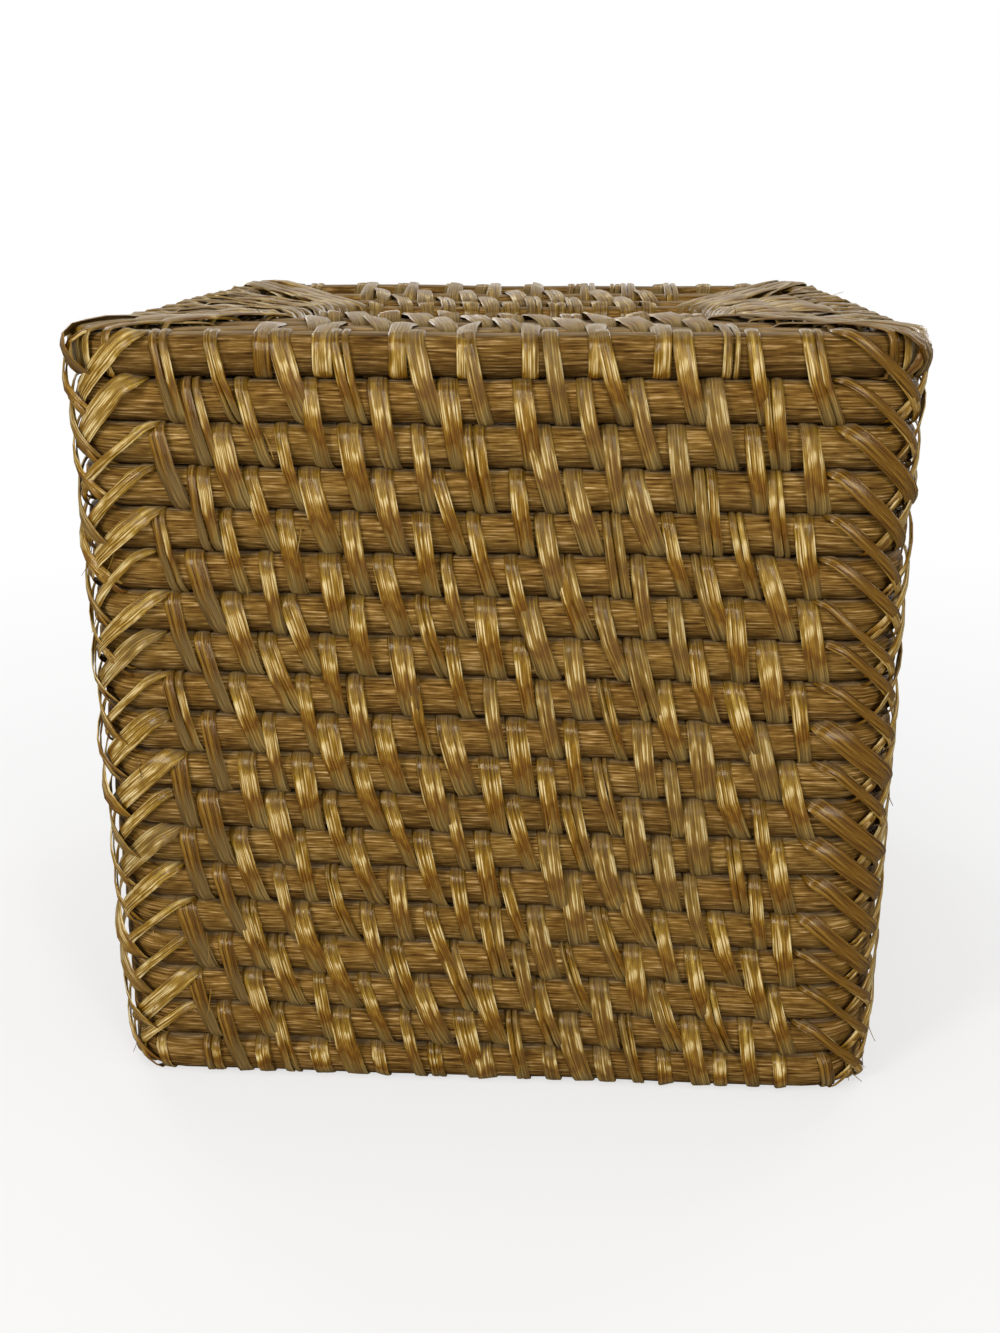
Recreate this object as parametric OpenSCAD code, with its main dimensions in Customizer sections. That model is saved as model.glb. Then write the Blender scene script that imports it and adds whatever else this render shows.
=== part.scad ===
// Square tissue box cover in coiled rattan: bent rods laid one on another up
// the sides and inwards over the top, bound together by loops of flat peel.
// The cover has no bottom, so that it drops over an upright box of tissues.

/* [Cover] */
// Width and depth over the side rods
cover_w = 145; // [125:1:185]
// Number of side rods, one on another
side_rods = 19; // [12:1:22]
// Number of top rods, counted from the edge in to the opening
top_rods = 3; // [1:1:4]

/* [Rods] */
// Thickness of a rod
rod_d = 6.85; // [6:0.05:8]
// Bend radius of a rod's middle line at a corner
bend_r = 9.5; // [9:0.5:13]

/* [Stitches] */
// Width of the strip of peel
peel_w = 2.8; // [2:0.1:3]
// Thickness of the strip of peel
peel_t = 0.45; // [0.3:0.05:0.7]
// Room between the strip and the rods it binds
peel_fit = 0.06; // [0.04:0.01:0.1]
// Distance from one stitch to the next along a rod
stitch_step = 10.9; // [10.6:0.1:14]
// Width of the strip where it turns a corner
corner_peel_w = 2.5; // [1.8:0.1:2.6]

/* [Top] */
// How much lower each top rod lies than the one outside it
top_sag = 0.5; // [0:0.1:1]
// Angle by which each top rod tips back from the one outside it
top_tip = 0.85; // [0:0.05:1]

/* [Hidden] */
// Sideways room between two strips in one gap
strip_space = 0.3;
// How deep the underside of the foot is worn flat
foot_flat = 0.15;
// Overrun of every cut
over = 1;
// Sideways room between the strips that cross where the weave turns over the edge
edge_space = 0.1;
$fn = 48;

rod_r = rod_d / 2;
// A loop of peel round a rod, from its inner face to its outer face
loop_in = rod_r + peel_fit;
loop_out = loop_in + peel_t;
rod_pitch = rod_d + peel_t + 2 * peel_fit;
// Middle height of the lowest rod, which stands on the loops round it
foot_z = loop_out - foot_flat;
// Distance from the cover's axis to the middle line of a side rod
side_half = cover_w / 2 - rod_r;
// Whole numbers of rods
side_rings = round(side_rods);
rings = side_rings + round(top_rods);

// A stitch leans by one strip and a space, so its two ends clear those of its neighbours
stitch_lean = peel_w + strip_space;
lean_slope = stitch_lean / (rod_pitch + 2 * loop_out);
// Where the weave turns over the edge, the strips stand upright in the room that
// the leaning ones of the rows beside them leave, and each row moves along
edge_room = (stitch_step - stitch_lean) / 2;
gap_lean = lean_slope * rod_pitch;
edge_peel_w = edge_room + gap_lean - peel_w - 2 * edge_space;
edge_move = (edge_room - gap_lean) / 2;
corner_lean = 2 * (corner_peel_w + strip_space);
corner_slope = corner_lean / (rod_pitch + 2 * loop_out);
// Half of the room that a corner stitch takes along the bend
corner_reach = (corner_lean + corner_peel_w) / 2;
// How far a corner stitch runs on past the bend, on the inner wall
corner_run = max(0, corner_reach * sqrt(2) - (bend_r - loop_out)) + strip_space;
// Radius of the inside of a bend
bend_in_r = bend_r - rod_r;

rod_colour = [0.47, 0.37, 0.24];
peel_colour = [0.63, 0.50, 0.22];

function two_digits(n) = n < 10 ? str("0", n) : str(n);
function rod_name(j) = j < side_rings
    ? str("side_rod_", two_digits(j + 1))
    : str("top_rod_", j - side_rings + 1);
// Row j of stitches binds rod j - 1 to rod j: row 0 goes round the foot rod
// alone, and the last row round the rod at the opening alone
function row_name(j) = j == 0 ? "foot_stitches"
    : j < side_rings ? str("side_stitches_", two_digits(j))
    : j == side_rings ? "edge_stitches"
    : j < rings ? str("top_stitches_", j - side_rings)
    : "rim_stitches";

// Where the rods lie: rod 0 is the foot, and the top rods follow the side rods
function top_count(j) = max(0, j - side_rings + 1);
function ring_half(j) = side_half - top_count(j) * rod_pitch;
function ring_z(j) = foot_z + min(j, side_rings - 1) * rod_pitch - top_count(j) * top_sag;
function ring_tip(j) = top_count(j) * top_tip;
function diagonal(j) = (ring_half(j) - bend_r) * sqrt(2) + bend_r;

// Side 0 is the front and the others follow to the right. The functions give
// a rod's distance out from the axis and its height in the frame of a row
function front_back(side) = side == 0 ? -1 : side == 2 ? 1 : 0;
function depth_at(j, side, u) = side == 1 ? u : side == 3 ? -u : front_back(side) * ring_half(j);
function corner_depth(j, corner) = (corner == 0 || corner == 3 ? -1 : 1) * diagonal(j) / sqrt(2);
function side_point(j, side, u, tip, z) = [
    front_back(side) == 0 ? ring_half(j) : ring_half(j) * cos(ring_tip(j) - tip),
    ring_z(j) - z - depth_at(j, side, u) * sin(ring_tip(j) - tip)
];
function corner_point(j, corner, tip, z) = [
    diagonal(j),
    ring_z(j) - z - corner_depth(j, corner) * sin(ring_tip(j) - tip)
];

// Rods

module rod_ring(half) {
    straight = half - bend_r;
    for (side = [0 : 3]) rotate(90 * side) {
        translate([straight, straight]) rotate_extrude(angle = 90) translate([bend_r, 0]) circle(rod_r);
        translate([half, straight]) rotate([90, 0, 0]) cylinder(r = rod_r, h = 2 * straight);
    }
}

module rod(j) {
    color(rod_colour)
        translate([0, 0, ring_z(j)]) rotate([-ring_tip(j), 0, 0]) rod_ring(ring_half(j));
}

// Stitches: each is a closed loop of peel round one or two rods, cut from a
// tube by a slanting slab, so that it leans to the right on its way down

module loop_shape(span, r) {
    for (end = [-1, 1]) translate([0, end * span / 2]) circle(r);
    if (span > 0) square([2 * r, span], center = true);
}

module loop_profile(span) {
    difference() {
        loop_shape(span, loop_out);
        loop_shape(span, loop_in);
    }
}

module lean_slab(span, width, slope, depth) {
    h = span / 2 + loop_out + over;
    shift = slope * h;
    rotate([90, 0, 0]) linear_extrude(depth, center = true) polygon([
        [-shift - width / 2, h], [-shift + width / 2, h],
        [shift + width / 2, -h], [shift - width / 2, -h]
    ]);
}

module stitch(span, width, slope) {
    reach = width + 2 * slope * (span / 2 + loop_out + over) + over;
    intersection() {
        rotate([90, 0, 90]) linear_extrude(reach, center = true) loop_profile(span);
        lean_slab(span, width, slope, 2 * (loop_out + over));
    }
}

// Lays a loop through the middle lines of the rods at a and b, each given as
// its distance out from the axis and its height
module lay_loop(a, b, u, width, slope, turn_alone = 0, slack = 0) {
    inward = a[0] - b[0];
    rise = b[1] - a[1];
    span = norm([inward, rise]);
    turn = span > 0 ? atan2(inward, rise) : turn_alone;
    translate([u, -(a[0] + b[0]) / 2, (a[1] + b[1]) / 2])
        rotate([-turn, 0, 0])
            translate([0, 0, slack / 2])
                stitch(span + slack, width, slope);
}

// A corner stitch on the sides follows the bend and leans across the corner
module corner_tube(span) {
    rotate(-135) {
        rotate_extrude(angle = 90) translate([bend_r, 0]) loop_profile(span);
        rotate([90, 0, 0]) linear_extrude(corner_run + over) translate([bend_r, 0]) loop_profile(span);
        rotate(90) mirror([0, 1, 0]) rotate([90, 0, 0])
            linear_extrude(corner_run + over) translate([bend_r, 0]) loop_profile(span);
    }
}

module corner_stitch(span, slope, u) {
    depth = bend_r + loop_out + over;
    intersection() {
        corner_tube(span);
        translate([u, -depth / 2, 0]) lean_slab(span, corner_peel_w, slope, depth);
    }
}

// Row of stitches

function row_tip(j) = j == 0 ? 0 : j == rings ? ring_tip(j - 1) : (ring_tip(j - 1) + ring_tip(j)) / 2;
function row_z(j) = j == 0 ? ring_z(0) : j == rings ? ring_z(j - 1) : (ring_z(j - 1) + ring_z(j)) / 2;
// A single loop has its lean in the face of the cover that its rod lies in
function row_turn(j) = j < side_rings ? 0 : 90;
function low_rod(j) = max(0, j - 1);
function high_rod(j) = min(rings - 1, j);
// A row of single loops lines up with the halves of the leaning loops beside it
function row_shift(j) = j == 0 ? -lean_slope * rod_pitch / 2
    : j < side_rings ? 0
    : j == side_rings ? edge_move
    : 2 * edge_move + (j == rings ? lean_slope * rod_pitch / 2 : 0);
function row_limit(j) = ring_half(high_rod(j)) - bend_r - corner_run - (stitch_lean + peel_w) / 2;
function row_places(j) = [
    for (k = [-ceil(cover_w / stitch_step) : ceil(cover_w / stitch_step)])
        let (u = (k + (j % 2) / 2) * stitch_step)
            if (abs(u) <= row_limit(j)) u + row_shift(j)
];

module side_loops(j) {
    width = j == side_rings ? edge_peel_w : peel_w;
    slope = j == side_rings ? 0 : lean_slope;
    for (side = [0 : 3]) rotate(90 * side) for (u = row_places(j))
        lay_loop(
            side_point(low_rod(j), side, u, row_tip(j), row_z(j)),
            side_point(high_rod(j), side, u, row_tip(j), row_z(j)),
            u, width, slope, row_turn(j)
        );
}

module side_corner_loops(j) {
    span = j == 0 ? 0 : rod_pitch;
    // The foot's own corner loops stand beside the leaning ones above them
    u = j == 0 ? -corner_lean / 2 : 0;
    slope = j == 0 ? 0 : corner_slope;
    for (corner = [0 : 3]) rotate(90 * corner + 45)
        translate([0, -(side_half - bend_r) * sqrt(2), 0]) corner_stitch(span, slope, u);
}

// On the top they are straight and stand by turns to the right and left of the
// diagonal, the first one clear of the leaning one below it. Each is slack
// enough to pass the inside of the bend
function top_corner_u(j) = (corner_peel_w + strip_space)
    * (j == side_rings ? 1 : (j - side_rings) % 2 == 0 ? 0.5 : -0.5);
function bend_fall(u) = bend_in_r - sqrt(bend_in_r * bend_in_r - u * u);

module top_corner_loops(j) {
    u = top_corner_u(j);
    for (corner = [0 : 3]) rotate(90 * corner + 45)
        lay_loop(
            corner_point(low_rod(j), corner, row_tip(j), row_z(j)),
            corner_point(high_rod(j), corner, row_tip(j), row_z(j)),
            u, corner_peel_w, 0, row_turn(j), bend_fall(abs(u) + corner_peel_w / 2)
        );
}

module stitch_row(j) {
    color(peel_colour) difference() {
        translate([0, 0, row_z(j)]) rotate([-row_tip(j), 0, 0]) {
            side_loops(j);
            if (j < side_rings) side_corner_loops(j);
            else top_corner_loops(j);
        }
        // The loops round the foot rod end flat at the surface that the cover stands on
        if (j <= 1) translate([0, 0, -(foot_flat + over) / 2])
            cube([cover_w + 2 * over, cover_w + 2 * over, foot_flat + over], center = true);
    }
}

for (j = [0 : rings - 1]) rod(j);
for (j = [0 : rings]) stitch_row(j);
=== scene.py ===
# %% [markdown]
# A tissue box cover in coiled rattan.
#
# The real cover is one long bundle of canes. Bent rods lie one on another up the
# four sides and turn in over the top, and strips of glossy peel bind each rod to
# the next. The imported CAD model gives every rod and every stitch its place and
# size. This lesson dresses it: each rod gets its grain and slight bends, and each
# stitch becomes a strip of peel that a hand has pulled tight. Blender's own noise
# starts from the clock, so it gets a seed first, and every run makes the same cover.

# %% Load the frame
import math
import random
from functools import partial

import bmesh
import bpy
from mathutils import Matrix, Vector, noise


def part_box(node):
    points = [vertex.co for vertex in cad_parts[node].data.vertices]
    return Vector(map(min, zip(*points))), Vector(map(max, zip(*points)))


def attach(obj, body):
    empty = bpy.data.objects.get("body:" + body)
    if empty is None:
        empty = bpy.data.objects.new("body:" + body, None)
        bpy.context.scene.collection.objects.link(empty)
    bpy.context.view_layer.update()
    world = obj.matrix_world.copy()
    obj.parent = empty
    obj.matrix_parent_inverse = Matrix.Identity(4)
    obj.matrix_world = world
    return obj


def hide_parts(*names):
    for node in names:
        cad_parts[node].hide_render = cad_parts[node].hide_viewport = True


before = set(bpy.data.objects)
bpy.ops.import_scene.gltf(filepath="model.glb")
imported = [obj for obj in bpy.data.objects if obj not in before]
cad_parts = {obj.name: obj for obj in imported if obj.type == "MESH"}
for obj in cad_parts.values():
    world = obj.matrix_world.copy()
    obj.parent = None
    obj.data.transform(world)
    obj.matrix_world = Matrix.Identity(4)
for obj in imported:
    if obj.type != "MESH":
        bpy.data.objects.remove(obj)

NOISE_SEED = 7
noise.seed_set(NOISE_SEED)
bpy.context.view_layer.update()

# %% [markdown]
# The pieces follow the rods, so the first step reads the rods' sizes back from
# the frame. Working in millimetres keeps the numbers readable. Each piece is
# scaled to metres once, when its mesh is done.

# %% Sizes of the rods
MM = 0.001

foot_low, foot_high = (Vector(corner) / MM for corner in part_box("side_rod_01"))
next_low, _ = (Vector(corner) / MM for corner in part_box("side_rod_02"))
ROD_R = (foot_high.z - foot_low.z) / 2
FOOT_Z = (foot_high.z + foot_low.z) / 2
PITCH = next_low.z - foot_low.z
SIDE_HALF = foot_high.x - ROD_R
SIDE_RODS = sum(name.startswith("side_rod_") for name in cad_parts)
TOP_RODS = sum(name.startswith("top_rod_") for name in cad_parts)
RINGS = SIDE_RODS + TOP_RODS
BEND_R = 9.5
TOP_SAG = 0.5
TOP_TIP = math.radians(0.85)
print(f"{SIDE_RODS} side rods and {TOP_RODS} top rods of {2 * ROD_R:.2f} mm, {PITCH:.2f} mm apart")

# %% [markdown]
# Every rod is the same rounded square, turned and lowered a little more with each
# course on the top. One matrix for each rod puts a point of the flat ring where
# the rod lies. Ring 0 is the foot, and the top rods follow the side rods.

# %% Where the rods lie
def top_count(ring):
    return max(0, ring - SIDE_RODS + 1)


def ring_half(ring):
    return SIDE_HALF - top_count(ring) * PITCH


def ring_matrix(ring):
    height = FOOT_Z + min(ring, SIDE_RODS - 1) * PITCH - top_count(ring) * TOP_SAG
    return Matrix.Translation((0, 0, height)) @ Matrix.Rotation(-top_count(ring) * TOP_TIP, 4, "X")


def on_side(ring, side, along):
    """A point of a rod's middle line on a straight side, and the rod's direction there."""
    turn = ring_matrix(ring) @ Matrix.Rotation(side * math.pi / 2, 4, "Z")
    return turn @ Vector((along, -ring_half(ring), 0)), (turn.to_3x3() @ Vector((1, 0, 0))).normalized()


def at_corner(ring, corner, along):
    """The same round a corner: along is 0 on the diagonal and below 0 on the side before it."""
    turn = ring_matrix(ring) @ Matrix.Rotation((corner + 0.5) * math.pi / 2, 4, "Z")
    centre = Vector((0, -(ring_half(ring) - BEND_R) * math.sqrt(2), 0))
    angle = max(-math.pi / 4, min(math.pi / 4, along / BEND_R))
    rest = along - angle * BEND_R
    direction = Vector((math.cos(angle), math.sin(angle), 0))
    point = centre + BEND_R * Vector((math.sin(angle), -math.cos(angle), 0)) + rest * direction
    return turn @ point, (turn.to_3x3() @ direction).normalized()


print("Top side rod at", [round(value, 2) for value in on_side(SIDE_RODS - 1, 0, 0)[0]])

# %% [markdown]
# The rods of the real cover are round canes, but the stitches press them against
# each other until the course looks almost flat, with thin dark lines between.
# A circle would leave wide gaps. A superellipse, a circle with fuller corners,
# has the pressed shape, and one power sets how square it is.

# %% Outline of a pressed rod
SQUARENESS = 3.3
PRESSED = PITCH / 2 - 0.1


def pressed(angle):
    """Distance out, and towards the next rod, of a pressed rod's skin at an angle in degrees."""
    cosine, sine = math.cos(math.radians(angle)), math.sin(math.radians(angle))
    power = 2 / SQUARENESS
    return (math.copysign(abs(cosine) ** power, cosine) * ROD_R,
            math.copysign(abs(sine) ** power, sine) * PRESSED)


print("Skin at 45 degrees:", [round(value, 2) for value in pressed(45)])

# %% [markdown]
# A curve with a bevel could make the ring, but a short walk with operators keeps
# full control of the faces: a circle of points, pulled to the pressed outline, is
# extruded along a straight side, spun round the bend, and so on four times. The
# ring's own length and girth become its UV map, so that the grain follows the
# bends. The map is cut at a back corner, where crossing strips hide the seam. A
# little noise then takes the machine-made look away: a slow wave along the cane and
# a fine ripple on it. The top rods are rounder and fill their row more.

# %% Rods
ROD_SIDES = 16
TOP_PRESS = 1.03
EDGE_PRESS = 0.3
STRAIGHT_STEPS = 22
BEND_STEPS = 7
SEAM_STEP = 4
ROD_SEED = 900
WAVE, WAVE_SCALE = 0.20, 0.045
RIPPLE, RIPPLE_FACTOR = 0.05, 9
RING_SHIFT = 7.3
NEAR = 1e-4


def rod_uv(point, straight):
    """Length along the ring and angle round the cane, for a point of the flat ring."""
    side_length = 2 * straight + BEND_R * math.pi / 2
    for side in range(4):
        x = point.x * (1, 0, -1, 0)[side] + point.y * (0, 1, 0, -1)[side]
        y = point.y * (1, 0, -1, 0)[side] - point.x * (0, 1, 0, -1)[side]
        if y < 0 and abs(x) <= straight + NEAR:
            return side * side_length + x + straight, math.atan2(point.z, -y - straight - BEND_R)
        if x > straight and y < -straight + NEAR:
            angle = math.atan2(x - straight, -y - straight)
            reach = math.hypot(x - straight, y + straight) - BEND_R
            return side * side_length + 2 * straight + angle * BEND_R, math.atan2(point.z, reach)
    return 0.0, 0.0


def closest_turn(value, reference, turn):
    return value + turn * round((reference - value) / turn)


def rod_circle(bm, ring):
    circle = bmesh.ops.create_circle(bm, segments=ROD_SIDES, radius=ROD_R)
    squeeze = PRESSED / ROD_R
    for vert in circle["verts"]:
        out, on = pressed(math.degrees(math.atan2(vert.co.x, vert.co.y)))
        vert.co = (on, out, 0) if ring < SIDE_RODS else (on / squeeze, out * squeeze * TOP_PRESS, 0)
        if ring == SIDE_RODS and out < 0:
            vert.co.y += EDGE_PRESS * out / ROD_R
    start = Matrix.Translation((BEND_R - ring_half(ring), -ring_half(ring), 0))
    start = start @ Matrix.Rotation(math.pi / 2, 4, "Y")
    bmesh.ops.transform(bm, matrix=start, verts=circle["verts"])
    return list(bm.edges)


def bend_rod(ring):
    straight = ring_half(ring) - BEND_R
    bm = bmesh.new()
    rim = rod_circle(bm, ring)
    for side in range(4):
        turn = Matrix.Rotation(side * math.pi / 2, 3, "Z")
        stride = turn @ Vector((2 * straight / STRAIGHT_STEPS, 0, 0))
        for _ in range(STRAIGHT_STEPS):
            grown = bmesh.ops.extrude_edge_only(bm, edges=rim)["geom"]
            rim = [item for item in grown if isinstance(item, bmesh.types.BMEdge)]
            rim_points = [item for item in grown if isinstance(item, bmesh.types.BMVert)]
            bmesh.ops.translate(bm, vec=stride, verts=rim_points)
        spun = bmesh.ops.spin(
            bm, geom=rim + rim_points, cent=turn @ Vector((straight, -straight, 0)),
            axis=(0, 0, 1), angle=math.pi / 2, steps=BEND_STEPS)["geom_last"]
        rim = [item for item in spun if isinstance(item, bmesh.types.BMEdge)]
    bmesh.ops.remove_doubles(bm, verts=bm.verts, dist=10 * NEAR)
    bmesh.ops.recalc_face_normals(bm, faces=bm.faces)
    return bm


def dress_rod(bm, ring):
    """Gives a ring its UV maps and its slight unevenness."""
    straight = ring_half(ring) - BEND_R
    side_length = 2 * straight + BEND_R * math.pi / 2
    total = 4 * side_length
    cut = 2 * side_length + 2 * straight + BEND_R * math.pi / 2 * SEAM_STEP / BEND_STEPS
    rng = random.Random(ROD_SEED + ring)
    # The top side rod always gets the darkest tone: painted shade.
    seed, tone = rng.random(), rng.random() if ring != SIDE_RODS - 1 else 0.0
    uv, strip_uv = bm.loops.layers.uv.new("UVMap"), bm.loops.layers.uv.new("strip")
    for face in bm.faces:
        middle_length, middle_angle = rod_uv(face.calc_center_median(), straight)
        for loop in face.loops:
            length, angle = rod_uv(loop.vert.co, straight)
            loop[uv].uv = (closest_turn(length - cut, (middle_length - cut) % total, total),
                           closest_turn(angle, middle_angle, 2 * math.pi) * ROD_R)
            loop[strip_uv].uv = (seed, tone)
    for vert in bm.verts:
        place = vert.co * WAVE_SCALE + Vector((0, 0, RING_SHIFT * ring))
        vert.co += WAVE * noise.noise_vector(place) + RIPPLE * noise.noise_vector(place * RIPPLE_FACTOR)


# %% [markdown]
# A strip of peel is flat below and rounded above, like the letter D on its back.
# Each strip starts as five points in that shape, and extruding their edges from
# station to station along the stitch's path makes the strip. One call extrudes all
# the strips of a row at once. Points carry their strip, place and step as numbers,
# which the new points inherit, so each knows where it belongs.

# %% Strips of peel
PEEL_SHAPE = ((-1.0, 0.0), (-0.82, 0.76), (0.0, 1.0), (0.82, 0.76), (1.0, 0.0))
KEPT = ("strip", "place", "step")


class Station:
    """One place along a strip: middle, direction of width, upper side, size and share of the way."""

    def __init__(self, middle, across, up, half_width, crown, share):
        self.middle, self.across, self.up = middle, across, up
        self.half_width, self.crown, self.share = half_width, crown, share

    def point(self, place):
        sideways, height = PEEL_SHAPE[place]
        return self.middle + self.across * sideways * self.half_width + self.up * height * self.crown


def grow_strips(bm, strips, closed):
    """Grows all the strips of a row. Each is (stations, seed, tone), and all have as many stations."""
    keep = {name: bm.verts.layers.int[name] for name in KEPT}
    rim = []
    for number, (stations, _, _) in enumerate(strips):
        points = [bm.verts.new(stations[0].point(place)) for place in range(len(PEEL_SHAPE))]
        for place, point in enumerate(points):
            point[keep["strip"]], point[keep["place"]], point[keep["step"]] = number, place, 0
        rim += [bm.edges.new((points[place - 1], points[place])) for place in range(len(points))]
    first_rim = list(rim)
    count = len(strips[0][0])
    faces = []
    for step in range(1, count + closed):
        grown = bmesh.ops.extrude_edge_only(bm, edges=rim)["geom"]
        rim = [item for item in grown if isinstance(item, bmesh.types.BMEdge)]
        faces += [item for item in grown if isinstance(item, bmesh.types.BMFace)]
        for point in grown:
            if isinstance(point, bmesh.types.BMVert):
                point[keep["step"]] = step
                stations = strips[point[keep["strip"]]][0]
                point.co = stations[step % count].point(point[keep["place"]])
    map_strips(bm, strips, faces, keep)
    if closed:
        ends = {point for edge in first_rim + rim for point in edge.verts}
        bmesh.ops.remove_doubles(bm, verts=list(ends), dist=NEAR)
    else:
        bmesh.ops.holes_fill(bm, edges=first_rim + rim, sides=0)


# %% [markdown]
# Each strip needs three UV maps. The first runs in millimetres across and along
# the strip, for its fibres. "strip" holds the same pair of random numbers all over
# one strip, its seed and its tone, so that no two strips look alike. The third
# holds the share of the way down and the place across. The peel's painted light
# and shade lie in bands along that way, and so does the dulling of its lower part.
# The long edges of the strip are marked sharp, and the rest is shaded smooth.

# %% UV maps of the strips
def map_strips(bm, strips, faces, keep):
    uv, strip_uv, bands_uv = (bm.loops.layers.uv[name] for name in ("UVMap", "strip", "wear"))
    count = len(strips[0][0])
    lengths = []
    for stations, _, _ in strips:
        run = [0.0]
        for step in range(1, count + 1):
            run.append(run[-1] + (stations[step % count].middle - stations[step - 1].middle).length)
        lengths.append(run)
    for face in faces:
        for loop in face.loops:
            number, place, step = (loop.vert[keep[name]] for name in KEPT)
            stations, seed, tone = strips[number]
            station = stations[step % count]
            loop[uv].uv = (PEEL_SHAPE[place][0] * station.half_width, lengths[number][step])
            loop[strip_uv].uv = (seed, tone)
            loop[bands_uv].uv = (station.share, PEEL_SHAPE[place][0])
        for edge in face.edges:
            if {point[keep["place"]] for point in edge.verts} in ({0}, {len(PEEL_SHAPE) - 1}):
                edge.smooth = False


# %% [markdown]
# A path is planned flat, as a track of places: how far along the rod, how high
# from halfway between the two rods, and how far out. The stations then follow the
# rods through their bends, each turned to the path's own direction with its back
# away from the rods. A small roll lets a strip lie a little on one edge, where it
# catches the light.

# %% Stations from a track
def lay_stations(low, high, inward, track):
    """Turns a track of (sideways, height, out, half width, crown, roll, share) into stations.

    low and high give a rod's middle line at a sideways place. Height is measured
    from halfway between the rods towards the higher one, and out from that plane.
    Where the rods part, what lies between their middle lines is stretched.
    """
    middles, aways = [], []
    for sideways, height, out, _, _, _, _ in track:
        a, along = low(sideways)
        b, _ = high(sideways)
        gap = (b - a).length
        rise = (b - a).normalized() if gap > 0.1 else inward
        outward = along.cross(rise).normalized()
        beyond = max(0.0, abs(height) - PITCH / 2) if gap > 0.1 else abs(height)
        between = (abs(height) - beyond) * gap / PITCH
        middles.append((a + b) / 2 + rise * math.copysign(between + beyond, height) + outward * out)
        aways.append(rise * math.copysign(beyond, height) + outward * out)
    stations = []
    count = len(track)
    for k, (_, _, _, half_width, crown, roll, share) in enumerate(track):
        forward = (middles[(k + 1) % count] - middles[k - 1]).normalized()
        up = (aways[k] - forward * aways[k].dot(forward)).normalized()
        across = up.cross(forward)
        turn = Matrix.Rotation(roll, 3, forward)
        stations.append(Station(middles[k], turn @ across, turn @ up, half_width, crown, share))
    return stations


# %% [markdown]
# A common stitch leaves the gap above, runs down over two rods and goes into the
# gap below them, and returns inside the wall. Its stops are angles round the
# pressed outline of the upper rod (1) or the lower one (-1), and 0 is halfway. The
# stitch that turns the edge needs more stops on its lower rod, whose whole front
# shows. The loops at the foot and the opening go round one rod alone.

# %% Tracks of the stitches
SIDE_STOPS = ((90, 1), (62, 1), (40, 1), (14, 1), (0, 0), (-14, -1), (-40, -1), (-62, -1), (-90, -1),
              (-143, -1), (180, -1), (180, 1), (143, 1))
EDGE_STOPS = ((90, 1), (58, 1), (25, 1), (0, 0), (-25, -1), (-47, -1), (-67, -1), (-90, -1),
              (-113, -1), (-133, -1), (-155, -1), (180, 1), (140, 1))
ALONE_STOPS = ((90, 0), (62, 0), (40, 0), (14, 0), (-14, 0), (-40, 0), (-62, 0), (-90, 0), (-118, 0),
               (-140, 0), (180, 0), (140, 0), (118, 0))
RIDE = 0.12


def stitch_track(stops, along, span, lean, bow, half_width, taper, crown, slack, roll, twist=0.0):
    """The track of one closed stitch. bow makes it lean more and more on its way down."""
    reach = span / 2 + PRESSED
    track = []
    for angle, rod in stops:
        out, on = pressed(angle)
        outer = max(0.0, math.cos(math.radians(angle)))
        height = rod * span / 2 + on * (1 + RIDE / PRESSED)
        share = 0.5 - height / (2 * reach)
        swell = slack * outer * math.cos(height * math.pi / (2 * reach + 1))
        sideways = along + lean * (share - 0.5 + bow * (share * share - share))
        width = half_width * (1 + taper * (share - 0.5))
        # way places the strip in the peel's painted bands of light and shade.
        way = share if out > -0.1 else 0.95
        if stops is EDGE_STOPS:
            way = 0.12 + max(0, -47 - angle) / 220
        turned = (roll + twist * (share - 0.5)) * outer
        track.append((sideways, height, out * (1 + RIDE / ROD_R) + swell, width, crown, turned, way))
    return track


print("A common stitch has", len(SIDE_STOPS), "stations")

# %% [markdown]
# At a corner the strips cross. One starts flat in a gap on the face before the
# corner, turns down and sweeps round it, and the other comes the opposite way. Each
# bows out where they cross before it is tucked under. The edge row's corner strips
# go on down round the front of the top side rod and stand out as loose hoops. These
# strips are seen in outline, so they get more places where they bend.

# %% Tracks of the corner strips
def soften(track, bends):
    """Puts one more place after each of the numbered ones, on a smooth curve through the closed track."""
    count = len(track)
    smooth = []
    for k in range(count):
        smooth.append(track[k])
        if k in bends:
            near = (track[(k + step) % count] for step in (-1, 0, 1, 2))
            smooth.append(tuple((9 * (b + c) - a - d) / 16 for a, b, c, d in zip(*near)))
    return smooth


CORNER_BENDS, HOOP_BENDS = (0, 1, 2, 3, 8, 9), (1, 2, 3, 4, 7, 8)
CORNER_STOPS = ((0.00, 0.0, 0.6), (0.06, 0.0, 2.9), (0.15, 0.05, 3.6), (0.27, 0.15, 3.75), (0.39, 0.35, 3.75),
                (0.51, 0.65, 3.75), (0.62, 0.9, 3.75), (0.72, 1.0, 3.75), (0.82, 0.75, 3.7), (0.90, 0.3, 3.5),
                (0.96, 0.0, 2.9), (1.00, 0.0, 0.6), (0.80, 0.0, -3.8), (0.45, 0.0, -4.0), (0.15, 0.0, -3.8))
HOOP_STOPS = ((0.00, 0.0, 0.5, 1.02), (0.05, 0.0, 2.9, 0.97), (0.15, 0.1, 3.6, 0.78),
              (0.32, 0.5, 3.7, 0.35), (0.50, 1.0, 3.7, -0.30), (0.62, 1.0, 3.3, -0.88),
              (0.72, 1.0, 2.0, -1.10), (0.82, 0.9, 0.2, -1.16), (0.90, 0.5, -1.8, -1.10),
              (0.97, 0.1, -3.2, -0.98), (1.00, 0.0, -3.9, -0.70), (0.60, 0.0, -3.9, -0.3),
              (0.25, 0.0, -3.9, 0.4), (0.05, 0.0, -3.2, 0.85))


def descent(share):
    """How much of the way down a corner strip has come: level at first, then steadily down."""
    def soft(x):
        return (x - 0.2 + math.hypot(x - 0.2, 0.12)) / 2
    return (soft(share) - soft(0)) / (soft(1) - soft(0))


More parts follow.
